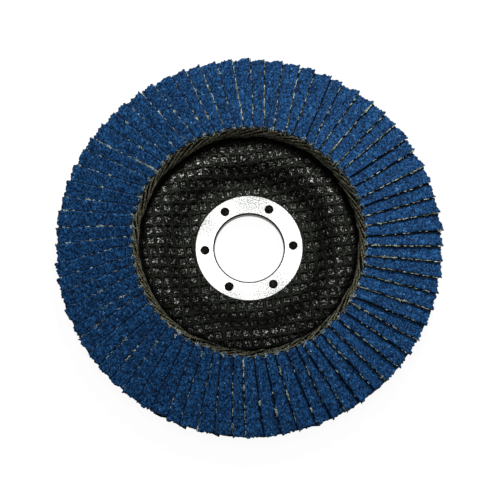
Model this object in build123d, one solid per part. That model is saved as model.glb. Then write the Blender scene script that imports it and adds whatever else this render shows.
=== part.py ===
from build123d import *
import math
import os

# Conical flap disc for an angle grinder: a dished backing plate carries a metal hub ring and a fan
# of overlapping abrasive-cloth flaps. It has no moving parts.
# Frame: Z is the spindle's axis, and +Z points out of the working side. The origin is on the axis
# in the flat back face of the hub, which the grinder's flange clamps.

os.makedirs("parts", exist_ok=True)

# Driving dimensions (mm, degrees)
disc_diameter = 125.0  # across the outer corners of the flaps
bore_diameter = 22.23  # arbor hole, 7/8 inch

ring_sheet = 0.8  # sheet that the hub ring is stamped from
flange_width = 6.185  # ring's flat flange, from the bore out
collar_recess = 0.23  # end of the ring's collar, above the plate's back face
lip_bevel = 0.4  # where the flange turns down into the bore
flange_bevel = 0.2
ring_holes = 6
ring_hole_diameter = 2.9
ring_hole_turn = 3.2  # of the first hole from +X

hub_thickness = 2.4  # plate under the ring's flange
plate_thickness = 2.4  # plate in its slope and cone
rim_lift = 0.6  # lower edge of the rim above the back face
rim_bevel = 0.7
cone_angle = 12.4  # fall of the plate's cone towards the rim
slope_angle = 45.0  # side of the central hollow
ring_stands_proud = 0.25  # ring's face above the hollow's floor
floor_width = 4.2  # hollow's flat floor, from the ring to the foot of the slope
foot_bevel = 1.6
crest_bevel = 2.6

flap_pairs = 36  # each pair is two opposite flaps
flap_length = 25.9
flap_width = 18.0
flap_overhang = 3.5  # outer corners of the flaps, past the plate's rim
cloth_thickness = 0.83  # along the axis, as the flaps lie
inner_layer_gap = 0.09  # between one flap and the next along the axis, at the inner ends
outer_layer_gap = 0.37  # and at the outer ends, where the fan opens
flap_skew = 3.7  # long edges, turned from the radius at the outer corner
end_skew = 9.9  # outer ends, turned from the tangent at the outer corner
inner_end_skew = 17.0  # inner ends, turned from the same line, as the stack leans out with the cone
flap_runs = 4  # straight runs across a flap that curves with its neighbours

adhesive_thickness = 0.5
adhesive_inner_lap = 2.7  # bead squeezed out inside the flaps' inner ends
adhesive_outer_margin = 7.0  # plate's rim left without glue, so that the flaps' outer ends flex
fit = 0.03  # clearance wherever one piece lies on or in another

# Values that follow from them
disc_radius = disc_diameter / 2
bore_radius = bore_diameter / 2
collar_radius = bore_radius + ring_sheet
ring_radius = bore_radius + flange_width
ring_hole_circle = bore_diameter + flange_width
under_flange = hub_thickness + fit
ring_face = under_flange + ring_sheet
floor_height = ring_face - ring_stands_proud
floor_radius = ring_radius + floor_width
plate_radius = disc_radius - flap_overhang
flap_pitch = 180 / flap_pairs
flap_reach = flap_length * math.cos(math.radians(cone_angle))
cone_slope = math.tan(math.radians(cone_angle))
cone_stretch = math.cos(math.radians(cone_angle))


def cone_height(radius, above=0.0):
    """Height of the plate's conical top at a radius, or of a surface that lies above it."""
    rim_height = rim_lift + plate_thickness / cone_stretch
    return rim_height + (plate_radius - radius) * cone_slope + above / cone_stretch


def crossing(start, angle, radius, height, other_angle):
    """Point (radius, height) where a line from start at an angle meets the line through another point."""
    run, rise = math.cos(math.radians(angle)), math.sin(math.radians(angle))
    other_run, other_rise = math.cos(math.radians(other_angle)), math.sin(math.radians(other_angle))
    along = (radius - start[0]) * other_rise - (height - start[1]) * other_run
    along /= run * other_rise - rise * other_run
    return start[0] + along * run, start[1] + along * rise


def turned_solid(points, bevels):
    """Body of revolution from (radius, height) points, with {index of corner: bevel}."""
    outline = make_face(Polyline(*points, close=True))
    for index, bevel in bevels.items():
        corner = outline.vertices().sort_by_distance(Vector(*points[index]))[0]
        outline = chamfer(corner, bevel)
    return revolve(Plane.XZ * outline, Axis.Z)


def hub_ring():
    """Stamped ring: a flat flange with six holes, and a collar drawn down through the plate."""
    section = [
        (bore_radius, collar_recess),
        (collar_radius, collar_recess),
        (collar_radius, under_flange),
        (ring_radius, under_flange),
        (ring_radius, ring_face),
        (bore_radius, ring_face),
    ]
    ring = turned_solid(section, {5: lip_bevel, 4: flange_bevel})
    hole = Pos(0, 0, under_flange) * Cylinder(ring_hole_diameter / 2, ring_sheet * 3)
    places = PolarLocations(ring_hole_circle / 2, ring_holes, start_angle=ring_hole_turn)
    return ring - [place * hole for place in places]


def backing_plate():
    """Pressed plate of resin and glass mesh: flat hub, sloping hollow side, crest and conical rim."""
    hole_radius = collar_radius + fit
    pocket_radius = ring_radius + fit
    foot = (floor_radius, floor_height)
    crest = crossing(foot, slope_angle, plate_radius, cone_height(plate_radius), -cone_angle)
    # the back of the slope and of the cone lie one plate thickness behind the front
    back_of_foot = (
        foot[0] + plate_thickness * math.sin(math.radians(slope_angle)),
        foot[1] - plate_thickness * math.cos(math.radians(slope_angle)),
    )
    heel = crossing(back_of_foot, slope_angle, 0, 0, 0)
    rim_back = (plate_radius, cone_height(plate_radius, -plate_thickness))
    back_crest = crossing(back_of_foot, slope_angle, *rim_back, -cone_angle)
    section = [
        (hole_radius, hub_thickness),
        (pocket_radius, hub_thickness),
        (pocket_radius, floor_height),
        foot,
        crest,
        (plate_radius, cone_height(plate_radius)),
        rim_back,
        back_crest,
        heel,
        (hole_radius, 0),
    ]
    bevels = {
        3: foot_bevel,
        4: crest_bevel,
        5: rim_bevel,
        6: rim_bevel,
        7: crest_bevel,
        8: foot_bevel,
    }
    return turned_solid(section, bevels)


def flap_outline():
    """Corners of one flap seen along the axis: outer high, inner high, outer low, inner low."""
    layer_pitch = cloth_thickness + (inner_layer_gap + outer_layer_gap) / 2
    climb = layer_pitch / (math.radians(flap_pitch) * (disc_radius - flap_reach / 2))
    spread = flap_width * math.cos(math.atan(climb))
    inward = Vector(-1, 0).rotate(Axis.Z, flap_skew) * flap_reach
    outer_high = Vector(disc_radius, 0)
    inner_high = outer_high + inward
    outer_low = outer_high + Vector(0, 1).rotate(Axis.Z, end_skew) * spread
    inner_low = inner_high + Vector(0, 1).rotate(Axis.Z, inner_end_skew) * spread
    return outer_high, inner_high, outer_low, inner_low


def flap_edge_points(high, low, layer_gap):
    """Points across one end of a flap, on its underside. It climbs evenly from its glued low corner."""
    climb_rate = (cloth_thickness + layer_gap) / flap_pitch
    low_angle = math.degrees(math.atan2(low.Y, low.X))
    points = []
    for run in range(flap_runs + 1):
        place = low + (high - low) * (run / flap_runs)
        turn = low_angle - math.degrees(math.atan2(place.Y, place.X))
        radius = math.hypot(place.X, place.Y)
        height = cone_height(radius, adhesive_thickness + 3 * fit) + climb_rate * turn
        points.append(Vector(place.X, place.Y, height))
    return points


def flat_faces(corners):
    """The face between four corners, as two flat triangles."""
    first, second, third, fourth = corners
    triangles = [(first, second, third), (first, third, fourth)]
    return [Face(Wire.make_polygon(triangle, close=True)) for triangle in triangles]


def flap():
    """One piece of abrasive cloth, twisted a little between its inner end and its outer end."""
    outer_high, inner_high, outer_low, inner_low = flap_outline()
    thickness = Vector(0, 0, cloth_thickness)
    inner = flap_edge_points(inner_high, inner_low, inner_layer_gap)
    outer = flap_edge_points(outer_high, outer_low, outer_layer_gap)
    faces = []
    for run in range(flap_runs):
        under = [inner[run], outer[run], outer[run + 1], inner[run + 1]]
        faces += flat_faces(under)
        faces += flat_faces([corner + thickness for corner in under])
    for side in (inner, outer):
        faces += [
            Face(Wire.make_polygon([a, b, b + thickness, a + thickness], close=True))
            for a, b in zip(side, side[1:])
        ]
    for a, b in ((inner[0], outer[0]), (inner[-1], outer[-1])):
        faces.append(Face(Wire.make_polygon([a, b, b + thickness, a + thickness], close=True)))
    return Solid(Shell(faces))


def adhesive_bead():
    """Ring of epoxy between the plate's cone and the low edges of the flaps."""
    inner = disc_radius - flap_reach - adhesive_inner_lap
    outer = plate_radius - adhesive_outer_margin
    section = [
        (inner, cone_height(inner, fit)),
        (outer, cone_height(outer, fit)),
        (outer, cone_height(outer, fit + adhesive_thickness)),
        (inner, cone_height(inner, fit + adhesive_thickness)),
    ]
    return turned_solid(section, {})


def save(shape, name):
    shape.label = name
    export_step(shape, f"parts/{name}.step")


save(hub_ring(), "hub_ring")
save(backing_plate(), "backing_plate")
save(adhesive_bead(), "adhesive_bead")

# Opposite flaps share a node, so that the nodes stay within what one folder of parts may hold
one_flap = flap()
for pair in range(flap_pairs):
    near = Rot(0, 0, pair * flap_pitch) * one_flap
    far = Rot(0, 0, pair * flap_pitch + 180) * one_flap
    save(Compound(children=[near, far]), f"flap_pair_{pair + 1:02d}")
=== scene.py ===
import math

import bpy
import numpy as np
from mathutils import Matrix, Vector


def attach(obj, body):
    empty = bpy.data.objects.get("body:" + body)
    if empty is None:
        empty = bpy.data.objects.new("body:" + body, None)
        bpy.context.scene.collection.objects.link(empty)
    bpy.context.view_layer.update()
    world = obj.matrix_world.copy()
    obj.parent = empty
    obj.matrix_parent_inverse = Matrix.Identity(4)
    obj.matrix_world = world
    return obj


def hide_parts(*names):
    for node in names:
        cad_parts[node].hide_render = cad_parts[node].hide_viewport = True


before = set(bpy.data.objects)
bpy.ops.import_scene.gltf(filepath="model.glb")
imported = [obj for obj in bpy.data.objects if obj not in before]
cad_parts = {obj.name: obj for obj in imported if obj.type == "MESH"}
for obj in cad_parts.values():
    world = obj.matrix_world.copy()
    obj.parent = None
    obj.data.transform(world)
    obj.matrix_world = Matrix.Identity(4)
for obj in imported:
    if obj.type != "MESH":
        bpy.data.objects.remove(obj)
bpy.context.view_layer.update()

# -----------------------------------------------------------------------------
# Backing plate. Layers of glass mesh soaked in black phenolic resin, pressed hot into a dish
# with a flat hub, a sloping hollow side and a conical rim. The net shows through the resin.
# -----------------------------------------------------------------------------
MM = 0.001
cone_angle = 12.4  # degrees, fall of the cone towards the rim
plate_hole, plate_rim = 11.945, 59.0  # mm, radii
pocket_radius, plate_thick = 17.33, 2.4  # mm, seat of the hub ring, and thickness under it
floor_height, floor_radius = 2.98, 21.5  # flat floor of the hollow, to the foot of the slope
plate_crest, back_crest = (28.323, 9.803), (29.09, 7.177)  # (radius, height), front and back
back_radius, rim_foot = 21.914, 0.6  # flat back face, and the rim's lower edge above it
cone_slope = math.tan(math.radians(cone_angle))
rim_top = rim_foot + plate_thick / math.cos(math.radians(cone_angle))
net_edge = 37.0  # radius where the flaps start to hide the net's relief
net_turn = math.radians(7.0)  # lay of the net on the plate
net_pitch = (2.92, 3.36)  # mm between strands of each family
net_sway, net_sway_length = 0.32, 27.0  # mm, strands pulled out of line as the plate was dished
strand_height, rough_height = 0.24, 0.13  # mm, of the strands and of the resin between them
plate_around = 620  # points round the plate


def cone_height(radius):
    """Top of the plate's cone: the rim's height plus the fall from a radius to the rim."""
    return rim_top + (plate_rim - radius) * cone_slope


def smooth_step(low, high, value):
    """0 below low, 1 above high, and 3t^2 - 2t^3 of the share t between them."""
    t = np.clip((value - low) / (high - low), 0, 1)
    return t * t * (3 - 2 * t)


def lattice_noise(a, b, cell, seed):
    """Noise from -1 to 1: random numbers on a square lattice of that cell, eased between corners."""
    table = np.random.default_rng(seed).uniform(-1, 1, (256, 256))
    p, q = a / cell, b / cell
    i, j = np.floor(p).astype(int), np.floor(q).astype(int)
    s, t = smooth_step(0, 1, p - i), smooth_step(0, 1, q - j)
    low = table[i % 256, j % 256] * (1 - s) + table[(i + 1) % 256, j % 256] * s
    high = table[i % 256, (j + 1) % 256] * (1 - s) + table[(i + 1) % 256, (j + 1) % 256] * s
    return low * (1 - t) + high * t


def rounded_section(corners):
    """Closed section through corners (radius, height, trim, arc steps, run steps). At each corner a
    parabola touches both sides one trim away from it; straight runs join the parabolas."""
    points = np.array([corner[:2] for corner in corners], float)
    pieces = []
    for k, (_, _, trim, arc_steps, run_steps) in enumerate(corners):
        here, before, after = points[k], points[k - 1], points[(k + 1) % len(points)]
        start = here + (before - here) / np.linalg.norm(before - here) * trim
        end = here + (after - here) / np.linalg.norm(after - here) * trim
        t = np.linspace(0, 1, arc_steps + 1)[:, None]
        pieces.append((1 - t) ** 2 * start + 2 * t * (1 - t) * here + t * t * end)
        next_trim = corners[(k + 1) % len(corners)][2]
        goal = after + (here - after) / np.linalg.norm(here - after) * next_trim
        t = np.linspace(0, 1, run_steps + 1)[1:-1, None]
        pieces.append(end + (goal - end) * t)
    return np.concatenate(pieces)


def ring_faces(rings, around):
    """Quads of a closed tube of rings x around points, both ways closed."""
    i, j = np.meshgrid(np.arange(rings), np.arange(around), indexing="ij")
    i2, j2 = (i + 1) % rings, (j + 1) % around
    corners = [i * around + j, i * around + j2, i2 * around + j2, i2 * around + j]
    return np.stack(corners, -1).reshape(-1, 4)


def outward(points, faces):
    """The quads, turned over if the volume that they enclose comes out negative."""
    a, b, c, d = (points[faces[:, k]] for k in range(4))
    halves = np.cross(b, c), np.cross(c, d)
    volume = sum(np.einsum("ij,ij->i", a, half).sum() for half in halves)
    return faces if volume > 0 else faces[:, ::-1]


def mesh_piece(name, points, faces, material, smooth=True):
    """A piece from points in mm and lists of face corners, with its material and shading."""
    mesh = bpy.data.meshes.new(name)
    mesh.from_pydata((np.asarray(points, float) * MM).tolist(), [], faces)
    mesh.polygons.foreach_set("use_smooth", [smooth] * len(mesh.polygons))
    mesh.materials.append(material)
    mesh.update()
    piece = bpy.data.objects.new(name, mesh)
    bpy.context.scene.collection.objects.link(piece)
    return piece


def linear(hex_colour):
    """sRGB hex to linear RGBA: each channel through the sRGB curve."""
    channels = [int(hex_colour[k : k + 2], 16) / 255 for k in (1, 3, 5)]
    curve = [c / 12.92 if c <= 0.04045 else ((c + 0.055) / 1.055) ** 2.4 for c in channels]
    return (*curve, 1.0)


def add_node(tree, kind, sockets=(), stops=None, **settings):
    """Adds a node and gives its outputs. It sets the node's properties and a ramp's colour stops, and
    fills its sockets, in their order or by name, or links them to an output or to a node's first."""
    node = tree.nodes.new("ShaderNode" + kind)
    for name, value in settings.items():
        setattr(node, name, value)
    for key, value in sockets.items() if isinstance(sockets, dict) else enumerate(sockets):
        value = value[0] if isinstance(value, bpy.types.bpy_prop_collection) else value
        if isinstance(value, bpy.types.NodeSocket):
            tree.links.new(value, node.inputs[key])
        else:
            node.inputs[key].default_value = value
    if stops:
        elements = node.color_ramp.elements
        while len(elements) < len(stops):
            elements.new(0.5)
        for element, (position, colour) in zip(elements, stops):
            element.position, element.color = position, linear(colour)
    return node.outputs


def new_material(name):
    """An empty node material and its tree."""
    material = bpy.data.materials.new(name)
    material.use_nodes = True
    material.node_tree.nodes.clear()
    return material, material.node_tree


def net_coordinates(x, y):
    """Place on the net, in strands: the plane turned by the net's lay, swayed by long sines, over
    the pitch."""
    a = x * math.cos(net_turn) + y * math.sin(net_turn)
    b = y * math.cos(net_turn) - x * math.sin(net_turn)
    k = 2 * math.pi / net_sway_length
    swayed_a, swayed_b = a + net_sway * np.sin(b * k), b + net_sway * np.sin(a * k + 1.0)
    return swayed_a / net_pitch[0], swayed_b / net_pitch[1]


def net_relief(x, y):
    """Height in mm of flattened strands, one family over the other by turns, plus noise that is
    strongest in the windows between them."""
    p, q = net_coordinates(x, y)
    over = np.cos(np.pi * np.floor(p + 0.5)) * np.cos(np.pi * np.floor(q + 0.5))
    along_b = smooth_step(0.30, 0.10, np.abs(p - np.round(p)))
    along_a = smooth_step(0.30, 0.10, np.abs(q - np.round(q)))
    strands = np.maximum(along_b * (0.70 + 0.20 * over), along_a * (0.95 - 0.15 * over))
    rough = lattice_noise(x, y, 0.40, 11) * (1.1 - strands) + 0.45 * lattice_noise(x, y, 0.9, 12)
    return strand_height * strands + rough_height * rough


plate_corners = [
    (plate_hole, plate_thick, 0.2, 2, 3),
    (pocket_radius, plate_thick, 0.12, 1, 2),
    (pocket_radius, floor_height, 0.2, 3, 9),
    (floor_radius, floor_height, 2.1, 17, 17),
    (*plate_crest, 3.2, 26, 24),
    (net_edge, cone_height(net_edge), 0.01, 1, 7),
    (plate_rim, rim_top, 0.8, 3, 2),
    (plate_rim, rim_foot, 0.8, 3, 16),
    (*back_crest, 3.2, 6, 3),
    (back_radius, 0.0, 2.0, 4, 5),
    (plate_hole, 0.0, 0.2, 2, 2),
]
section = rounded_section(plate_corners)
angles = np.linspace(0, 2 * np.pi, plate_around, endpoint=False)
tangent = np.roll(section, -1, 0) - np.roll(section, 1, 0)
normal = np.stack([-tangent[:, 1], tangent[:, 0]], 1) / np.linalg.norm(tangent, axis=1)[:, None]
radius, height = section[:, :1], section[:, 1:]
relief = net_relief(radius * np.cos(angles), radius * np.sin(angles)) - strand_height / 2
# only the front has the relief, and it fades out at the ring's pocket and under the flaps
front = (normal[:, 1:] > 0.3) & (radius > 17.4) & (height > 2.9)
fade = smooth_step(17.5, 18.0, radius) * smooth_step(net_edge + 0.2, net_edge - 0.4, radius)
lift = np.where(front, relief, 0.0) * fade
moved = radius + lift * normal[:, :1]
raised = height + lift * normal[:, 1:]
plate_points = np.stack([moved * np.cos(angles), moved * np.sin(angles), raised], -1).reshape(-1, 3)

# Phenolic resin over E-glass net: near black and matt where the strands lie, and lumpy in the windows.
# Painted shade blackens the crevices beside the strands, and painted highlights glint in the windows.
plate_material, tree = new_material("phenolic_resin_over_glass_net")
place = add_node(tree, "TexCoord")["Object"]
turned_place = add_node(tree, "Mapping", {"Vector": place, "Rotation": (0, 0, -net_turn)})
axes = add_node(tree, "SeparateXYZ", [turned_place])


def from_strand(along, across, pitch, phase):
    """Pitches from the nearest strand's middle, signed: the swayed place over the pitch, less the
    nearest whole number."""
    wave = 2 * math.pi / (net_sway_length * MM)
    angle = add_node(tree, "Math", [across, wave, phase], operation="MULTIPLY_ADD")
    sine = add_node(tree, "Math", [angle], operation="SINE")
    swayed = add_node(tree, "Math", [sine, net_sway * MM, along], operation="MULTIPLY_ADD")
    strands = add_node(tree, "Math", [swayed, 1 / (pitch * MM), 0.5], operation="MULTIPLY_ADD")
    share = add_node(tree, "Math", [strands, 1.0], operation="FLOORED_MODULO")
    return add_node(tree, "Math", [share, 0.5], operation="SUBTRACT")


off_b = from_strand(axes[0], axes[1], net_pitch[0], 0.0)
off_b = add_node(tree, "Math", [off_b], operation="ABSOLUTE")
signed_a = from_strand(axes[1], axes[0], net_pitch[1], 1.0)
off_a = add_node(tree, "Math", [signed_a], operation="ABSOLUTE")
nearest = add_node(tree, "Math", [off_a, off_b], operation="MINIMUM")

fray_size, cloud_size, lump_size, crest_size = 1.2, 4.0, 0.45, 0.42  # mm
ragged = {"Vector": place, "Scale": 1 / (fray_size * MM), "Detail": 4.0, "Roughness": 0.65}
ragged = add_node(tree, "TexNoise", ragged)
cloud = add_node(tree, "TexNoise", {"Vector": place, "Scale": 1 / (cloud_size * MM), "Detail": 2.0})
lumps = {"Vector": place, "Scale": 1 / (lump_size * MM), "Detail": 2.0, "Roughness": 0.6}
lumps = add_node(tree, "TexNoise", lumps)
# 0 in the middle of a strand, about 0.16 in the crevice beside it, more in the window; here and
# there the resin lies over the whole net
drowned = add_node(tree, "MapRange", [cloud, 0.44, 0.34, 0.0, 0.10])
into_window = add_node(tree, "Math", [ragged, 0.46, nearest], operation="MULTIPLY_ADD")
into_window = add_node(tree, "Math", [into_window, 0.205], operation="SUBTRACT")
into_window = add_node(tree, "Math", [into_window, drowned], operation="SUBTRACT")

# how far the place is from the axis, as a share of 40 mm on the front and 0 on the back
zone_reach, front_reach, below_cone = 40.0, 33.0, 1.2  # mm
flat_place = add_node(tree, "VectorMath", [place, (1, 1, 0)], operation="MULTIPLY")
from_axis = add_node(tree, "VectorMath", [flat_place], operation="LENGTH")["Value"]
on_axes = add_node(tree, "SeparateXYZ", [place])
over_cone = add_node(tree, "Math", [from_axis, cone_slope, on_axes[2]], operation="MULTIPLY_ADD")
on_front = [over_cone, (cone_height(0) - below_cone) * MM]
on_front = add_node(tree, "Math", on_front, operation="GREATER_THAN")
in_hollow = add_node(tree, "Math", [from_axis, front_reach * MM], operation="LESS_THAN")
on_front = add_node(tree, "Math", [on_front, in_hollow], operation="MAXIMUM")
zone = add_node(tree, "Math", [from_axis, 1 / (zone_reach * MM)], operation="MULTIPLY")
zone = add_node(tree, "Math", [zone, on_front], operation="MULTIPLY")
slope_stops = [(0.53, "#000000"), (0.58, "#ffffff"), (0.68, "#ffffff"), (0.73, "#000000")]
on_slope = add_node(tree, "ValToRGB", [zone], slope_stops)

# painted light and shade: the resin lighter towards +Y and darker towards -Y, above all on the slope
flat_soak = add_node(tree, "MapRange", [on_axes[1], -30 * MM, 30 * MM, 0.52, 1.04])
slope_soak = add_node(tree, "MapRange", [on_axes[1], -25 * MM, 25 * MM, 0.24, 1.40])
soaked = add_node(tree, "Mix", {0: on_slope, 2: flat_soak, 3: slope_soak})

# painted shadow: each window is darkest just under the strand on its +Y side, where that strand's
# shadow falls
brow_stops = [(0.20, "#ffffff"), (0.25, "#383838"), (0.31, "#202020"), (0.35, "#ffffff")]
brow = add_node(tree, "Math", [signed_a, 0.5], operation="ADD")
brow = add_node(tree, "ValToRGB", [brow], brow_stops)
in_column = add_node(tree, "Math", [ragged, 0.7, off_b], operation="MULTIPLY_ADD")
in_column = add_node(tree, "MapRange", [in_column, 0.52, 0.62, 0.15, 1.0])
brow = add_node(tree, "Mix", {0: in_column, 2: 1.0, 3: brow})

# painted highlights: glints in short strokes along either strand, in the windows only, drawn coarser
# than real glints so that they show
crests = []
for stretch in ((0.50, 1.15, 1.0), (1.15, 0.50, 1.0)):
    drawn = add_node(tree, "Mapping", {"Vector": turned_place, "Scale": stretch})
    line = {"Vector": drawn, "Scale": 1 / (crest_size * MM), "Detail": 1.5, "Roughness": 0.65}
    crests.append(add_node(tree, "TexNoise", line))
crest = add_node(tree, "Math", [crests[0], crests[1]], operation="MAXIMUM")
glint = add_node(tree, "MapRange", [crest, 0.597, 0.695, 0.0, 1.32])
patchy = add_node(tree, "MapRange", [cloud, 0.34, 0.66, 0.25, 1.35])
# share of the painted glints by zone: less on the slope, and almost none at the foot of the flaps'
# wall, in its painted shadow
gloss_stops = [(0.53, "#c8c8c8"), (0.57, "#a0a0a0"), (0.68, "#a8a8a8"), (0.73, "#ececec")]
gloss_stops += [(0.81, "#ececec"), (0.85, "#202020")]
gloss_share = add_node(tree, "ValToRGB", [zone], gloss_stops)
open_stops = [(0.01, "#606060"), (0.11, "#606060"), (0.14, "#000000"), (0.19, "#000000")]
open_stops += [(0.215, "#ffffff"), (0.40, "#ffffff"), (0.47, "#c8c8c8")]
open_share = add_node(tree, "ValToRGB", [into_window], open_stops)
for share in (patchy, soaked, gloss_share, open_share, brow):
    glint = add_node(tree, "Math", [glint, share], operation="MULTIPLY")

# painted shade: on the slope the troughs beside the strands that cross it are darkened, so the strands
# stand out as dark steps
towards = add_node(tree, "VectorMath", [flat_place], operation="NORMALIZE")
towards = add_node(tree, "VectorMath", [towards], operation="ABSOLUTE")
towards = add_node(tree, "SeparateXYZ", [towards])
troughs = []
for off, way in ((off_a, towards[1]), (off_b, towards[0])):
    trough = add_node(tree, "MapRange", [off, 0.20, 0.34, 0.0, 0.8], interpolation_type="SMOOTHSTEP")
    troughs.append(add_node(tree, "Math", [trough, way], operation="MULTIPLY"))
steps = add_node(tree, "Math", [troughs[0], troughs[1]], operation="MAXIMUM")
steps = add_node(tree, "Math", [steps, on_slope], operation="MULTIPLY")
steps = add_node(tree, "Math", [1.0, steps], operation="SUBTRACT")

# colour of the resin: by the strands and windows, black in the crevices as painted shade, then dimmed
# by painted shade and by its own grain
shade_stops = [(0.01, "#262a23"), (0.11, "#2b2f27"), (0.14, "#010101"), (0.19, "#010101")]
shade_stops += [(0.22, "#2e312a"), (0.36, "#2d3029"), (0.46, "#22251f")]
shade = add_node(tree, "ValToRGB", [into_window], shade_stops)
# painted shade by zone: darker on the slope, a little darker on the cone, and dark at the foot of the
# flaps' wall
dry_stops = [(0.53, "#ffffff"), (0.58, "#cfcfcf"), (0.69, "#cfcfcf"), (0.74, "#e6e6e6")]
dry_stops += [(0.81, "#e6e6e6"), (0.855, "#404040")]
amount = add_node(tree, "ValToRGB", [zone], dry_stops)
grain = add_node(tree, "MapRange", [lumps, 0.32, 0.68, 0.35, 1.60])
for share in (steps, soaked, brow, grain):
    amount = add_node(tree, "Math", [amount, share], operation="MULTIPLY")
base = add_node(tree, "VectorMath", {0: shade, "Scale": amount}, operation="SCALE")
lit = add_node(tree, "VectorMath", {0: linear("#fbfcf6")[:3], "Scale": glint}, operation="SCALE")
resin_colour = add_node(tree, "VectorMath", [base, lit], operation="ADD")

strand = add_node(tree, "MapRange", [into_window, 0.16, 0.26, 1.0, 0.0])
rough = add_node(tree, "MapRange", [strand, 0.0, 1.0, 0.26, 0.50])
level_stops = [(0.01, "#ffffff"), (0.10, "#e6e6e6"), (0.14, "#0c0c0c"), (0.19, "#0c0c0c")]
level_stops += [(0.23, "#b4b4b4"), (0.45, "#8c8c8c")]
level = add_node(tree, "ValToRGB", [into_window], level_stops)
level = add_node(tree, "Math", [lumps, 0.8, level], operation="MULTIPLY_ADD")
bump = add_node(tree, "Bump", {"Height": level, "Distance": 0.30 * MM, "Strength": 1.0})
resin = {"Base Color": resin_colour, "Roughness": rough, "Specular IOR Level": 0.02, "Normal": bump}
resin = add_node(tree, "BsdfPrincipled", resin)
add_node(tree, "OutputMaterial", [resin])

plate_faces = outward(plate_points, ring_faces(len(section), plate_around)).tolist()
plate = mesh_piece("backing_plate_net", plate_points, plate_faces, plate_material)
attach(plate, "root")
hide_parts("backing_plate")

# -----------------------------------------------------------------------------
# Hub ring. Stamped from 0.8 mm steel sheet and zinc plated: a flat flange in the plate's pocket,
# six holes that lock it into the resin, and a collar turned down through the plate.
# -----------------------------------------------------------------------------
patch_height, bore_height = 3.2, 3.3  # mm, of the flange's face and of the shaded bore
bore_lip, bore_wall = 11.62, 11.50  # radii between which the flange turns into the bore, mm
# (x, y, reach) of the darker grey patches, mm
dull_patches = [(1.5, 16.5, 17.0), (-15.0, 8.5, 10.0), (9.0, -16.0, 17.0), (-6.0, -18.0, 11.0)]

# Zinc plate on cold-rolled steel: bright grey metal, darker grey in patches, with a fine pickled grain
# that is drawn coarser than it is so that it shows.
ring_material, tree = new_material("zinc_plated_steel")
place = add_node(tree, "TexCoord")["Object"]
speck = {"Vector": place, "Scale": 1 / (0.36 * MM), "Detail": 1.0, "Roughness": 0.6}
speck = add_node(tree, "TexNoise", speck)
patches = []
for dull_x, dull_y, dull_reach in dull_patches:
    away = [place, (dull_x * MM, dull_y * MM, patch_height * MM)]
    away = add_node(tree, "VectorMath", away, operation="DISTANCE")["Value"]
    near = [away, dull_reach * MM, 0.0, 0.0, 1.0]
    patches.append(add_node(tree, "MapRange", near, interpolation_type="SMOOTHSTEP"))
patch = patches[0]
for near in patches[1:]:
    patch = add_node(tree, "Math", [patch, near], operation="MAXIMUM")
shift = add_node(tree, "Math", [patch, 0.20, speck], operation="MULTIPLY_ADD")
zinc_stops = [(0.50, "#b6b7b5"), (0.62, "#a6a7a5"), (0.73, "#80817f"), (0.86, "#4a4b49")]
zinc = add_node(tree, "ValToRGB", [shift], zinc_stops)
flat_place = add_node(tree, "VectorMath", [place, (1, 1, 0)], operation="MULTIPLY")
from_axis = add_node(tree, "VectorMath", [flat_place], operation="LENGTH")["Value"]
in_bore = add_node(tree, "MapRange", [from_axis, bore_lip * MM, bore_wall * MM, 0.0, 1.0])
on_height = add_node(tree, "SeparateXYZ", [place])[2]
on_height = add_node(tree, "MapRange", [on_height, 0.0, bore_height * MM])
# the bore's wall: olive grey, and black near its top, under the lip, as painted shade
bore_stops = [(0.0, "#4c4c43"), (0.68, "#626257"), (0.78, "#0c0c0b"), (0.95, "#0c0c0b")]
bore = add_node(tree, "ValToRGB", [on_height], bore_stops)
zinc = add_node(tree, "Mix", {0: in_bore, 6: zinc, 7: bore}, data_type="RGBA")[2]
bump = add_node(tree, "Bump", {"Height": speck, "Distance": 0.02 * MM, "Strength": 0.5})
steel = {"Base Color": zinc, "Metallic": 1.0, "Roughness": 0.42, "Normal": bump}
steel = add_node(tree, "BsdfPrincipled", steel)
add_node(tree, "OutputMaterial", [steel])
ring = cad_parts["hub_ring"]
ring.data.materials.clear()
ring.data.materials.append(ring_material)

# -----------------------------------------------------------------------------
# Resin plugs. The pressed resin wells up through the ring's six holes and sets there as low,
# uneven domes, which key the ring to the plate.
# -----------------------------------------------------------------------------
plug_count, plug_turn = 6, 3.2  # and the first plug's angle from +X, degrees
plug_radius, plug_circle = 1.42, 14.2075  # mm, of a plug, and of the circle that they stand on
plug_foot, plug_edge, plug_rise = 2.405, 2.62, 0.42  # heights above the back face and of the dome
dome_rings, plug_around = 10, 28  # points of a dome, from its top out and round it

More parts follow.
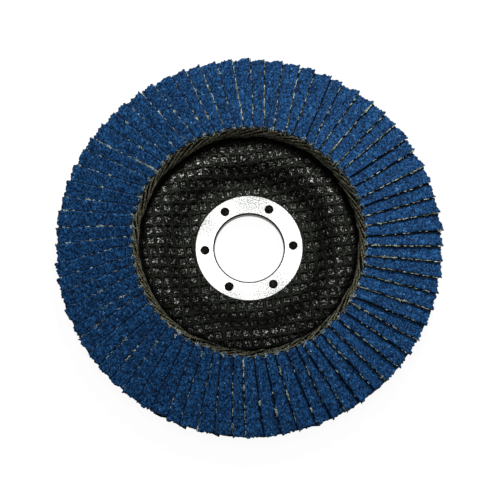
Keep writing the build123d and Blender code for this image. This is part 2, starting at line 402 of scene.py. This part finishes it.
out_share = np.linspace(0, 1, dome_rings + 1)[:, None]
sides = np.linspace(0, 2 * np.pi, plug_around, endpoint=False)
k, s = np.meshgrid(np.arange(dome_rings), np.arange(plug_around), indexing="ij")
s2 = (s + 1) % plug_around
corners = [k * plug_around + s, (k + 1) * plug_around + s]
corners += [(k + 1) * plug_around + s2, k * plug_around + s2]
wall_faces = np.stack(corners, -1).reshape(-1, 4)
skirt_start, top_point = dome_rings * plug_around, (dome_rings + 1) * plug_around
top_fan = np.stack([s[0] * 0 + top_point, s[0], s2[0]], -1)
bottom_fan = np.stack([s[0] * 0 + top_point + 1, skirt_start + s2[0], skirt_start + s[0]], -1)
plug_points, plug_faces = [], []
for hole in range(plug_count):
    centre = math.radians(plug_turn + 360 / plug_count * hole)
    x = plug_circle * math.cos(centre) + plug_radius * out_share * np.cos(sides)
    y = plug_circle * math.sin(centre) + plug_radius * out_share * np.sin(sides)
    # a dome falls with the square of the share from its middle out, and noise makes it uneven
    dome = plug_edge + plug_rise * (1 - out_share**2) * (1 + 0.25 * lattice_noise(x, y, 0.6, 21))
    rings = np.stack([x, y, dome], -1)[1:].reshape(-1, 3)
    skirt = np.stack([x[-1], y[-1], np.full(plug_around, plug_foot)], -1)
    top = [x[0].mean(), y[0].mean(), dome[0].mean()]
    bottom = [x[0].mean(), y[0].mean(), plug_foot]
    plug_points += [rings, skirt, [top, bottom]]
    for part in (wall_faces, top_fan, bottom_fan):
        plug_faces += (part + hole * (top_point + 2)).tolist()

# Phenolic resin, set in the holes: black and a little rough, with greyer lumps.
plug_material, tree = new_material("phenolic_resin")
place = add_node(tree, "TexCoord")["Object"]
lumps = {"Vector": place, "Scale": 1 / (0.7 * MM), "Detail": 3.0, "Roughness": 0.6}
lumps = add_node(tree, "TexNoise", lumps)
plug_stops = [(0.40, "#060705"), (0.60, "#1a1c17"), (0.75, "#3c3e38")]
tone = add_node(tree, "ValToRGB", [lumps], plug_stops)
bump = add_node(tree, "Bump", {"Height": lumps, "Distance": 0.12 * MM, "Strength": 1.0})
resin = {"Base Color": tone, "Roughness": 0.45, "Specular IOR Level": 0.02, "Normal": bump}
resin = add_node(tree, "BsdfPrincipled", resin)
add_node(tree, "OutputMaterial", [resin])
plugs = mesh_piece("resin_plugs", np.concatenate(plug_points), plug_faces, plug_material)
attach(plugs, "root")

# -----------------------------------------------------------------------------
# Adhesive bead. Black filled epoxy poured round the cone: the flaps' low edges are set into it,
# and it is squeezed out a little inside their inner ends.
# -----------------------------------------------------------------------------
bead_inner, bead_outer, bead_thick, bead_clear = 34.7, 52.0, 0.51, 0.03
bead_fill = 0.85  # how far the glue wells up between the flaps
well_inner, well_outer, well_side = 38.6, 40.4, 0.8  # radii of that ridge, and its sides' width
bead_around = 360  # points round the bead
bead_wander, bead_ripple, bead_spill = 0.35, 0.2, 0.2  # mm, of its inner edge


def bead_top(radius, above=0.0):
    """Top of the bead: the cone, the clearance and the bead's thickness, and what is above it."""
    return cone_height(radius) + bead_clear + bead_thick + above


bead_corners = [
    (bead_inner, cone_height(bead_inner) + bead_clear, 0.12, 2, 3),
    (bead_outer, cone_height(bead_outer) + bead_clear, 0.1, 1, 1),
    (bead_outer, bead_top(bead_outer), 0.1, 1, 6),
    (well_outer + well_side, bead_top(well_outer + well_side), 0.2, 1, 1),
    (well_outer, bead_top(well_outer, bead_fill), 0.2, 1, 1),
    (well_inner, bead_top(well_inner, bead_fill), 0.2, 1, 1),
    (well_inner - well_side, bead_top(well_inner - well_side), 0.2, 1, 1),
    (bead_inner, bead_top(bead_inner), 0.3, 4, 1),
]
section = rounded_section(bead_corners)
angles = np.linspace(0, 2 * np.pi, bead_around, endpoint=False)
# the inner edge wanders in and out, and follows the cone's slope as it does
arc = angles * bead_inner
wander = bead_wander * lattice_noise(arc, arc * 0, 3.0, 31)
wander = wander + bead_ripple * lattice_noise(arc, arc * 0, 1.1, 32)
radius = section[:, :1] + smooth_step(38.0, 35.0, section[:, :1]) * (wander + bead_spill)
height = section[:, 1:] - (radius - section[:, :1]) * cone_slope
bead_points = np.stack([radius * np.cos(angles), radius * np.sin(angles), height], -1).reshape(-1, 3)

# Filled epoxy adhesive: black, a little lumpy where it was squeezed out.
bead_material, tree = new_material("filled_epoxy_adhesive")
place = add_node(tree, "TexCoord")["Object"]
lumps = add_node(tree, "TexNoise", {"Vector": place, "Scale": 1 / (1.3 * MM), "Detail": 4.0})
tone = add_node(tree, "ValToRGB", [lumps], [(0.35, "#030302"), (0.70, "#0b0a08")])
bump = add_node(tree, "Bump", {"Height": lumps, "Distance": 0.25 * MM, "Strength": 0.8})
epoxy = {"Base Color": tone, "Roughness": 0.45, "Specular IOR Level": 0.02, "Normal": bump}
epoxy = add_node(tree, "BsdfPrincipled", epoxy)
add_node(tree, "OutputMaterial", [epoxy])
bead_faces = outward(bead_points, ring_faces(len(section), bead_around)).tolist()
bead = mesh_piece("adhesive_squeeze_out", bead_points, bead_faces, bead_material)
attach(bead, "root")
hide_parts("adhesive_bead")

# -----------------------------------------------------------------------------
# Flaps. Zirconia cloth: blue resin-bonded grit on a stiff woven backing, slit into pieces and set
# on their low edges one after another, so that each lies on the last and shows a narrow strip.
# -----------------------------------------------------------------------------
flap_count, flap_pitch = 72, 5.0  # and degrees from one flap to the next
disc_radius, reach, spread = 62.5, 25.3, 17.5  # mm, reach and spread of a flap seen from above
flap_skew, outer_skew, inner_skew = 3.7, 9.9, 17.0  # degrees, of the long edges and the two ends
cloth = 0.83  # mm, along the axis
inner_gap, outer_gap = 0.09, 0.37  # mm between the flaps at their inner and outer ends
seat = 0.59 / math.cos(math.radians(cone_angle))  # mm of glue and clearances under the first layer
rows, layers, skip = 85, 2, 3  # rows of points, bands within the edge, and fine rows to one behind
bare_share, strip_columns, hidden_columns = 0.38, 26, 6  # fine columns, then a few under the next
corner_dark = 0.20  # depth given to the painted shade in the corners, as a share of the cloth
tag_step = 37.0  # mm on the noise from one flap's place to the next one's


def heading(angle):
    """Unit vector at an angle in degrees."""
    return np.array([math.cos(math.radians(angle)), math.sin(math.radians(angle))])


outer_high = np.array([disc_radius, 0.0])
inner_high = outer_high + heading(180 + flap_skew) * reach
outer_low = outer_high + heading(90 + outer_skew) * spread
inner_low = inner_high + heading(90 + inner_skew) * spread
low_angles = [math.degrees(math.atan2(low[1], low[0])) for low in (inner_low, outer_low)]
share_across = np.linspace(0, bare_share, strip_columns)
share_across = np.concatenate([share_across, np.linspace(bare_share, 1, hidden_columns)[1:]])
columns = len(share_across)
share_along = np.linspace(0, 1, rows)


def rim_of(grid):
    """The points round the edge of a grid, once round from its first corner."""
    return np.concatenate([grid[0, :], grid[1:, -1], grid[-1, -2::-1], grid[-2:0:-1, 0]])


def quads_of(grid, other_way=False):
    """The quads between the points of a grid, and for a grid seen from behind the other way."""
    corners = [grid[:-1, :-1], grid[1:, :-1], grid[1:, 1:], grid[:-1, 1:]]
    corners = [corners[k] for k in (0, 3, 2, 1)] if other_way else corners
    return np.stack(corners, -1).reshape(-1, 4).tolist()


def flap_topology():
    """Faces of a closed slab, the numbers of the points round its face, and its back's rows. The
    slab is a fine grit face, walls of as many points, and a back with every third row."""
    back_rows = np.arange(0, rows, skip)
    face = np.arange(rows * columns).reshape(rows, columns)
    rim = rim_of(face)
    around = len(rim)
    rim_rows = rim // columns
    first = rows * columns
    walls = [rim] + [first + k * around + np.arange(around) for k in range(layers)]
    back = first + layers * around + np.arange(len(back_rows) * columns)
    back = back.reshape(len(back_rows), columns)
    back_rim = rim_of(back)
    faces = quads_of(face)
    for upper, lower in zip(walls[:-1], walls[1:]):
        corners = [upper, np.roll(upper, -1), np.roll(lower, -1), lower]
        faces += np.stack(corners, -1).tolist()
    # the last band joins the fine rows to the back's: a face spans one point or one back row
    kept = np.flatnonzero(rim_rows % skip == 0)
    after = np.arange(1, len(kept) + 1) % len(kept)
    spans = (kept[after] - kept) % around
    for span in np.unique(spans):
        here = np.flatnonzero(spans == span)
        along_wall = walls[-1][(kept[here, None] + np.arange(span + 1)) % around]
        ends = np.stack([back_rim[after[here]], back_rim[here]], -1)
        faces += np.concatenate([along_wall, ends], 1).tolist()
    return faces + quads_of(back, other_way=True), rim, back_rows


flap_faces, rim_points, back_rows = flap_topology()


def slit_wander(number, along, u):
    """How far a flap's high edge lies from its true line, in mm: an offset, a turn that grows from
    one end to the other, and two noises for the uneven slit."""
    random = np.random.default_rng(900 + number % flap_count)
    offset, turn = np.clip(random.normal(0, 0.30), -0.6, 0.6), random.normal(0, 0.22)
    tag = tag_step * (number % flap_count) + 0 * u
    wander = offset + turn * (2 * u - 1) + 0.16 * lattice_noise(along, tag, 6.0, 41)
    return wander + 0.07 * lattice_noise(along, tag, 0.8, 42)


def flap_points(number):
    """Points of one flap in mm, their depth in the cloth (0 grit face, 1 back) with painted shade put
    in as depth, and the face alone.
    Plan: a slab between its high and low edges, whose high edge wanders and whose ends are ragged.
    Height: the cone plus the bead, plus the layers under it, which grow with the angle from the low
    edge; plus a slight arch along the bare strip and the relief of the grit."""
    random = np.random.default_rng(500 + number)
    u, v = np.meshgrid(share_along, share_across, indexing="ij")
    along, across = u * reach, v * spread
    tag = tag_step * number
    strip = 1 - smooth_step(0.0, 0.45, v)
    v_moved = v + strip * slit_wander(number, along, u) / spread
    # the ends: frayed by fractions of a millimetre, the outer corner pulled out like a beak
    outer_fray = -0.30 + 0.38 * lattice_noise(across, tag + 0 * u, 0.5, 43)
    outer_fray = outer_fray + 0.16 * lattice_noise(across, tag + 0 * u, 1.7, 44)
    beak = 0.40 * (1 - smooth_step(0.0, 0.05, v)) * random.uniform(-0.3, 1.0)
    outer_fray = outer_fray + beak + random.normal(0, 0.10)
    cut_back = 0.42 * smooth_step(0.0, 0.12, v) * (1 - smooth_step(0.22, 0.5, v))
    inner_fray = cut_back + random.normal(0, 0.16)
    inner_fray = inner_fray + 0.14 * lattice_noise(across, tag + 0 * u, 0.6, 45)
    stretch = outer_fray * smooth_step(0.90, 1.0, u) + inner_fray * (1 - smooth_step(0.0, 0.12, u))
    u_moved = u + stretch / reach
    high = inner_high + u_moved[..., None] * (outer_high - inner_high)
    low = inner_low + u_moved[..., None] * (outer_low - inner_low)
    plan = high + v_moved[..., None] * (low - high)
    radius = np.minimum(np.hypot(plan[..., 0], plan[..., 1]), disc_radius)
    angle = np.arctan2(plan[..., 1], plan[..., 0])
    rate = (cloth + inner_gap + (outer_gap - inner_gap) * u) / flap_pitch
    low_angle = low_angles[0] + (low_angles[1] - low_angles[0]) * u
    nest = cone_height(radius) + seat + cloth + rate * (low_angle - np.degrees(angle))
    arch = abs(random.normal(0, 0.16)) * np.sin(np.pi * u) + random.normal(0, 0.05)
    bare = 1 - smooth_step(0.0, 0.26, v)
    grit = 0.055 * lattice_noise(along, across + tag, 0.55, 46)
    grit = grit + 0.05 * lattice_noise(along, across + tag, 1.6, 47)
    edge_wear = 0.16 * (1 - smooth_step(0.0, 0.02, v)) + 0.12 * (1 - smooth_step(0.0, 0.012, u))
    edge_wear = edge_wear + 0.12 * smooth_step(0.988, 1.0, u)
    top = nest + bare * arch + (grit - 0.05) * (1 - smooth_step(0.36, 0.42, v)) - edge_wear
    under = nest + bare * arch - cloth
    turn = angle + math.radians(number * flap_pitch)
    x, y = radius * np.cos(turn), radius * np.sin(turn)
    face = np.stack([x, y, top], -1).reshape(-1, 3)
    below = np.stack([x, y, under], -1).reshape(-1, 3)
    # the edge between face and back: bands that bulge out of line by fractions of a millimetre
    bands, depths = [], []
    inner_rim = rim_points < columns
    for layer in range(layers):
        share = (layer + 1) / (layers + 1)
        edge = face[rim_points] * (1 - share) + below[rim_points] * share
        bulge = random.uniform(-0.05, 0.09, (len(edge), 1))
        away = edge - face.mean(0)
        away[:, 2] = 0
        away /= np.linalg.norm(away, axis=1)[:, None]
        bands.append(edge + away * bulge)
        # at the inner end both bands get depths in the black resin line: partly real resin, partly
        # painted shade on the end faces
        depths.append(np.where(inner_rim, 0.30 + 0.12 * layer, share))
    back = below.reshape(rows, columns, 3)[back_rows].reshape(-1, 3)
    points = np.concatenate([face] + bands + [back])
    # no grit is left past the next flap's inner end: a lip of bare cloth, with resin along it
    lip = np.interp(along, [0.0, 0.30, 0.62, 0.92], [0.72, 0.60, 0.32, 0.0])
    lip = lip * smooth_step(0.08, 0.15, v)
    # painted shade: a dark line in the corner under the next flap's high edge
    high_angle = np.arctan2(high[..., 1], high[..., 0])[:, 0]
    high_radius = np.hypot(high[..., 0], high[..., 1])[:, 0]
    edge_angle = np.interp(radius, high_radius, high_angle)
    to_next = (math.radians(flap_pitch) - angle + edge_angle) * radius
    to_next = to_next + slit_wander(number + 1, along, u)
    corner = 1 - smooth_step(0.26, 0.74, to_next)
    face_depth = np.maximum(lip, corner_dark * corner).ravel()
    depth = np.concatenate([face_depth] + depths + [np.ones(len(back))])
    return points, depth, face.reshape(rows, columns, 3)


# Resin-bonded zirconia on polyester cloth. Grit face: deep blue size coat over sharp grains, with
# dark pits as painted shade and small bright facets as painted glints. Edge: a black line of resin over
# olive, fibrous cloth.
cloth_material, tree = new_material("zirconia_cloth")
place = add_node(tree, "TexCoord")["Object"]
depth = add_node(tree, "Attribute", attribute_name="cloth_depth")["Fac"]
# grit: each grain has a tone of its own, and the tone drifts over a millimetre or two
grains = add_node(tree, "TexVoronoi", {"Vector": place, "Scale": 1 / (0.40 * MM), "Randomness": 1.0})
grain = add_node(tree, "SeparateColor", [grains["Color"]])[1]
drift = add_node(tree, "TexNoise", {"Vector": place, "Scale": 1 / (1.6 * MM), "Detail": 3.0})
value = add_node(tree, "Math", [drift, 0.55, grain], operation="MULTIPLY_ADD")
value = add_node(tree, "Math", [value, 0.65], operation="MULTIPLY")
grit_stops = [(0.14, "#03070e"), (0.30, "#0c223f"), (0.50, "#153a63"), (0.68, "#1b4a7b")]
# the two lightest stops are painted glints on the grains
grit_stops += [(0.84, "#30669b"), (0.93, "#8fb4da")]
grit_colour = add_node(tree, "ValToRGB", [value], grit_stops)
# edge: the cloth's fibres lie flat, and the resin darkens the layers next to the grit
weave = {"Vector": place, "Scale": 1 / (0.5 * MM), "Detail": 4.0, "Roughness": 0.7}
weave = add_node(tree, "TexNoise", weave)
flattened = add_node(tree, "Mapping", {"Vector": place, "Scale": (1.0, 1.0, 6.0)})
streak = add_node(tree, "TexNoise", {"Vector": flattened, "Scale": 1 / (0.7 * MM), "Detail": 3.0})
fibre_stops = [(0.30, "#1d1b15"), (0.45, "#454232"), (0.58, "#6f6a56"), (0.75, "#98927e")]
fibre_colour = add_node(tree, "ValToRGB", [streak], fibre_stops)
layer_stops = [(0.10, "#ffffff"), (0.20, "#0c0a07"), (0.46, "#0f0d09"), (0.60, "#ffffff")]
layer_stops += [(0.90, "#ffffff"), (1.0, "#55534a")]
layer_colour = add_node(tree, "ValToRGB", [depth], layer_stops)
edge_colour = {0: 1.0, 6: fibre_colour, 7: layer_colour}
edge_colour = add_node(tree, "Mix", edge_colour, data_type="RGBA", blend_type="MULTIPLY")[2]
# painted shade: the stack's edges grow dark towards its foot, from higher up on its -Y side
flat_place = add_node(tree, "VectorMath", [place, (1, 1, 0)], operation="MULTIPLY")
from_axis = add_node(tree, "VectorMath", [flat_place], operation="LENGTH")["Value"]
axes = add_node(tree, "SeparateXYZ", [place])
over_cone = add_node(tree, "Math", [from_axis, cone_slope, axes[2]], operation="MULTIPLY_ADD")
crept = add_node(tree, "MapRange", [axes[1], -18 * MM, -34 * MM, 0.0, 1.5 * MM])
over_glue = add_node(tree, "Math", [over_cone, crept], operation="SUBTRACT")
clear = [over_glue, (cone_height(0) + 2.0) * MM, (cone_height(0) + 5.6) * MM, 0.06, 1.15]
clear = add_node(tree, "MapRange", clear)
edge_colour = add_node(tree, "VectorMath", {0: edge_colour, "Scale": clear}, operation="SCALE")
on_edge = add_node(tree, "MapRange", [depth, 0.06, 0.22, 0.0, 1.0])
colour = add_node(tree, "Mix", {0: on_edge, 6: grit_colour, 7: edge_colour}, data_type="RGBA")[2]
rough = add_node(tree, "MapRange", [on_edge, 0.0, 1.0, 0.5, 0.9])
# relief: rounded grains on a swell of the coat, and the weave on the edge
domes = add_node(tree, "Math", [1.0, grains["Distance"]], operation="SUBTRACT")
swell = {"Vector": place, "Scale": 1 / (1.25 * MM), "Detail": 1.0, "Roughness": 0.5}
swell = add_node(tree, "TexNoise", swell)
domes = add_node(tree, "Math", [swell, 2.9, domes], operation="MULTIPLY_ADD")
relief = add_node(tree, "Mix", {0: on_edge, 2: domes, 3: weave})
bump = add_node(tree, "Bump", {"Height": relief, "Distance": 0.16 * MM, "Strength": 1.0})
cut = {"Base Color": colour, "Roughness": rough, "Specular IOR Level": 0.04, "Normal": bump}
cut = add_node(tree, "BsdfPrincipled", cut)
add_node(tree, "OutputMaterial", [cut])

grit_faces = []
for number in range(flap_count):
    points, depth_values, grit_face = flap_points(number)
    grit_faces.append(grit_face)
    flap = mesh_piece(f"flap_{number + 1:02d}", points, flap_faces, cloth_material)
    attribute = flap.data.attributes.new("cloth_depth", "FLOAT", "POINT")
    attribute.data.foreach_set("value", depth_values.astype(np.float32))
    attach(flap, "root")
    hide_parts(f"flap_pair_{number % 36 + 1:02d}")

# -----------------------------------------------------------------------------
# Frayed yarn. Slitting leaves loose polyester yarn along the flaps' bare edges and tufts of
# cut fibre at their inner ends. It is pale, and it hangs on by the resin.
# -----------------------------------------------------------------------------
yarn_sides = 5
pull_side = 35  # degrees from +X, the side where the slitting pulled most yarn out
yarn_points, yarn_faces, yarn_soak = [], [], []


def tube(path, radii):
    """Closed tube along a path: circles of the given radii across its direction. Gives its points,
    the quads of its side and its two end faces."""
    ahead = np.gradient(path, axis=0)
    ahead /= np.linalg.norm(ahead, axis=1)[:, None] + 1e-12
    side = np.cross(ahead, [0.0, 0.0, 1.0])
    side /= np.linalg.norm(side, axis=1)[:, None] + 1e-12
    up = np.cross(side, ahead)
    turn = np.linspace(0, 2 * np.pi, yarn_sides, endpoint=False)
    circle = side[:, None] * np.cos(turn)[:, None] + up[:, None] * np.sin(turn)[:, None]
    points = (path[:, None] + circle * radii[:, None, None]).reshape(-1, 3)
    numbers = np.arange(len(points)).reshape(len(path), yarn_sides)
    first, after = numbers[:-1], numbers[1:]
    quads = np.stack([first, after, np.roll(after, -1, 1), np.roll(first, -1, 1)], -1)
    return points, quads.reshape(-1, 4), np.stack([numbers[0], numbers[-1, ::-1]])


def add_yarn(path, radii, soaked=0.0):
    """Adds one yarn to the piece: its tube, numbered on from the last, and its share of resin."""
    points, quads, ends = tube(path, np.asarray(radii))
    start = sum(len(part) for part in yarn_points)
    yarn_points.append(points)
    yarn_faces.extend((quads + start).tolist() + (ends + start).tolist())
    yarn_soak.append(np.full(len(points), soaked))


def unit(direction):
    """A direction with a length of one."""
    return direction / np.linalg.norm(direction)


def along_edge(s, arc, edge):
    """Places at lengths s along an edge: each coordinate between its points, by length."""
    return np.stack([np.interp(s, arc, edge[:, axis]) for axis in range(3)], -1)


def tapered(s):
    """Share of a yarn's thickness along it: the 0.4th power of half a sine, thin at both ends."""
    return np.sin(np.linspace(0.12, np.pi - 0.12, len(s))) ** 0.4


random = np.random.default_rng(77)
fibre_share = np.linspace(0, 1, 4)[:, None]
arc = np.linspace(0, reach, rows)
row_across = share_across * spread
for number, grit_face in enumerate(grit_faces):
    edge = grit_face[:, 0]
    out = edge - grit_face[:, 3]
    out[:, 2] = 0
    out /= np.linalg.norm(out, axis=1)[:, None]
    # the slitting pulled more yarn out on one side of the disc than on the other
    pull = 1 + 0.7 * math.cos(math.radians(number * flap_pitch - pull_side))
    looseness = random.uniform(0.15, 1.0) ** 1.3 * min(pull, 1.4)
    # long yarns that lie along the high edge
    start = random.uniform(0, 3 / looseness)
    while start < reach - 1.0:
        length = random.uniform(0.6, 1.2 + 3.0 * looseness)
        end = min(start + length, reach)
        s = np.arange(start, end, 0.25)
        if len(s) > 2:
            tag = s * 0 + number * 5.0
            push = 0.15 + 0.17 * lattice_noise(s, tag, 0.6, 51)
            path = along_edge(s, arc, edge) + along_edge(s, arc, out) * push[:, None]
            path[:, 2] -= 0.16 + 0.12 * lattice_noise(s, tag, 1.4, 52)
            thick = 0.065 + 0.05 * pull + 0.16 * lattice_noise(s, tag, 0.45, 53)
            add_yarn(path, np.maximum(thick, 0.025) * tapered(s))
        start = end + random.exponential(0.5 / looseness)
    # tufts of short fibres on the same edge
    for _ in range(random.poisson(0.6 + 1.8 * looseness)):
        place_on = random.uniform(1.0, reach - 0.5)
        row = int(place_on / reach * (rows - 1))
        lengthways = unit(edge[min(row + 2, rows - 1)] - edge[row - 2])
        for _ in range(random.integers(9, 18)):
            direction = out[row] * random.normal(0.15, 0.35) + lengthways * random.normal(0, 0.9)
            direction[2] += random.uniform(0.0, 0.35)
            direction = unit(direction)
            first = edge[row] + out[row] * random.normal(0.10, 0.13)
            first = first + lengthways * random.normal(0, 0.42)
            first[2] += random.normal(-0.06, 0.07)
            path = first + direction * fibre_share * random.uniform(0.15, 0.5)
            path = path + random.normal(0, 0.05, (4, 3))
            add_yarn(path, [0.11, 0.15, 0.13, 0.08])
    # a tuft at the inner corner, where both cuts meet
    inward = unit(edge[0] - edge[4])
    for _ in range(random.integers(4, 18)):
        lie = random.normal(0, 1)
        direction = inward * random.normal(0.1, 0.6) - out[0] * lie
        direction = unit(direction + np.array([0, 0, random.uniform(0.0, 0.4)]))
        first = edge[random.integers(0, 3)] - out[0] * random.uniform(-0.15, 0.9)
        first = first + np.array([0, 0, random.uniform(-0.15, 0.05)])
        first[:2] += inward[:2] * random.uniform(-0.2, 0.22)
        path = first + direction * fibre_share * random.uniform(0.15, 0.7)
        add_yarn(path, [0.09, 0.12, 0.10, 0.05], 0.1)
    # weft yarn laid bare along the inner end, one layer on another
    toward = grit_face[0, 4] - grit_face[5, 4]
    toward[2] = 0
    toward = unit(toward)
    for level in (0.25, 0.62):
        start = random.uniform(0, 1.5)
        while start < 11:
            end = start + random.uniform(1.5, 6.0)
            s = np.arange(start, end, 0.5)
            tag = s * 0 + number * 7.0 + level
            push = 0.02 + 0.03 * lattice_noise(s, tag, 0.9, 54)
            path = along_edge(s, row_across, grit_face[0]) + toward * push[:, None]
            path[:, 2] -= level + 0.05 * lattice_noise(s, tag, 1.2, 55)
            if len(s) > 3:
                thick = 0.075 + 0.03 * lattice_noise(s, s * 0 + level, 0.8, 56)
                add_yarn(path, thick * tapered(s), 0.5)
            start = end + random.exponential(1.2)
    # single fibres that stand out from the inner end
    for _ in range(5):
        column = random.integers(0, 9)
        first = grit_face[0, column] - [0, 0, random.uniform(0.15, 0.75)]
        inward = unit(grit_face[0, column] - grit_face[6, column])
        direction = inward + random.normal(0, 0.45, 3)
        path = first + direction * fibre_share * random.uniform(0.3, 0.9)
        add_yarn(path, [0.08, 0.075, 0.06, 0.03], 0.3)

# Loose polyester yarn: dull and pale olive grey, sized with resin, darker where glue soaked in.
# Its single fibres, a few hundredths of a millimetre thick, are drawn coarser than that.
yarn_material, tree = new_material("loose_polyester_yarn")
place = add_node(tree, "TexCoord")["Object"]
tint = {"Vector": place, "Scale": 1 / (2.2 * MM), "Detail": 4.0, "Roughness": 0.7}
tint = add_node(tree, "TexNoise", tint)
yarn_stops = [(0.34, "#2c302a"), (0.44, "#6b7467"), (0.54, "#a3ada0"), (0.68, "#d6ddd0")]
tint = add_node(tree, "ValToRGB", [tint], yarn_stops)
soak = add_node(tree, "Attribute", attribute_name="resin_share")["Fac"]
tint = add_node(tree, "Mix", {0: soak, 6: tint, 7: linear("#4a4839")}, data_type="RGBA")[2]
polyester = {"Base Color": tint, "Roughness": 0.8, "Specular IOR Level": 0.2}
polyester = add_node(tree, "BsdfPrincipled", polyester)
add_node(tree, "OutputMaterial", [polyester])
yarn = mesh_piece("frayed_yarn", np.concatenate(yarn_points), yarn_faces, yarn_material)
attribute = yarn.data.attributes.new("resin_share", "FLOAT", "POINT")
attribute.data.foreach_set("value", np.concatenate(yarn_soak).astype(np.float32))
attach(yarn, "root")

# -----------------------------------------------------------------------------
# Studio. A white table with the disc's faint shadow, a broad key lamp and an even sky. Both are
# white to the camera, and the light that they give the disc is much weaker.
# -----------------------------------------------------------------------------
table_half, table_top = 3000.0, -0.05  # mm
sky_light = 0.16  # share of the white sky that lights the disc
view_half, view_rise, view_distance = 5.1, 77.5, 0.9  # degrees, degrees and metres
aim = Vector((0.29, -0.69, 3.23)) * MM  # the camera looks at this point


def seen_plainly(tree):
    """1 for rays that show a surface to the camera, straight, mirrored or through glass: the
    greatest of the three; 0 for the light that a surface casts."""
    rays = add_node(tree, "LightPath")
    seen = add_node(tree, "Math", [rays["Is Camera Ray"], rays["Is Glossy Ray"]], operation="MAXIMUM")
    seen = [seen, rays["Is Transmission Ray"]]
    return add_node(tree, "Math", seen, operation="MAXIMUM")


def lamp(name, azimuth, elevation, distance, size, power):
    """Square area lamp that looks at the disc from an azimuth, measured from +X, and an elevation,
    in degrees, metres and watts."""
    data = bpy.data.lights.new(name, "AREA")
    data.shape, data.size, data.energy = "SQUARE", size, power
    light = bpy.data.objects.new(name, data)
    flat = math.cos(math.radians(elevation)) * distance
    light.location = (
        flat * math.cos(math.radians(azimuth)),
        flat * math.sin(math.radians(azimuth)),
        math.sin(math.radians(elevation)) * distance,
    )
    light.rotation_mode = "QUATERNION"
    light.rotation_quaternion = (-light.location).to_track_quat("-Z", "Y")
    bpy.context.scene.collection.objects.link(light)


# A white table: it looks white, keeps a faint shadow, and throws back the light of plain paint.
floor_material, tree = new_material("white_table")
glow = add_node(tree, "Emission", {"Color": (1, 1, 1, 1), "Strength": 0.95})
matt = add_node(tree, "BsdfDiffuse", {"Color": (0.10, 0.10, 0.10, 1)})
shown = add_node(tree, "AddShader", [glow, matt])
plain = add_node(tree, "BsdfDiffuse", {"Color": (0.8, 0.8, 0.8, 1)})
both = add_node(tree, "MixShader", [seen_plainly(tree), plain, shown])
add_node(tree, "OutputMaterial", [both])
corners = [(x * table_half, y * table_half, table_top) for x, y in ((-1, -1), (1, -1), (1, 1), (-1, 1))]
floor = mesh_piece("table", corners, [[0, 1, 2, 3]], floor_material, smooth=False)

world = bpy.data.worlds.new("even_sky")
bpy.context.scene.world = world
world.use_nodes = True
tree = world.node_tree
tree.nodes.clear()
strength = add_node(tree, "MapRange", [seen_plainly(tree), 0.0, 1.0, sky_light, 1.0])
sky = add_node(tree, "Background", {"Color": (1, 1, 1, 1), "Strength": strength})
add_node(tree, "OutputWorld", [sky])

lamp("key", 78, 40, 1.0, 0.13, 8.6)
lamp("top", 90, 79, 1.0, 0.12, 2.2)

camera_data = bpy.data.cameras.new("camera")
camera_data.sensor_width, camera_data.lens = 36.0, 18.0 / math.tan(math.radians(view_half))
camera_data.clip_start, camera_data.clip_end = 0.05, 20.0
camera = bpy.data.objects.new("camera", camera_data)
rise = math.radians(view_rise)
towards_camera = Vector((0.0, -math.cos(rise), math.sin(rise)))
camera.location = aim + towards_camera * view_distance
camera.rotation_mode = "QUATERNION"
camera.rotation_quaternion = (-towards_camera).to_track_quat("-Z", "Y")
bpy.context.scene.collection.objects.link(camera)
bpy.context.scene.camera = camera
bpy.context.scene.view_settings.view_transform = 'Standard'
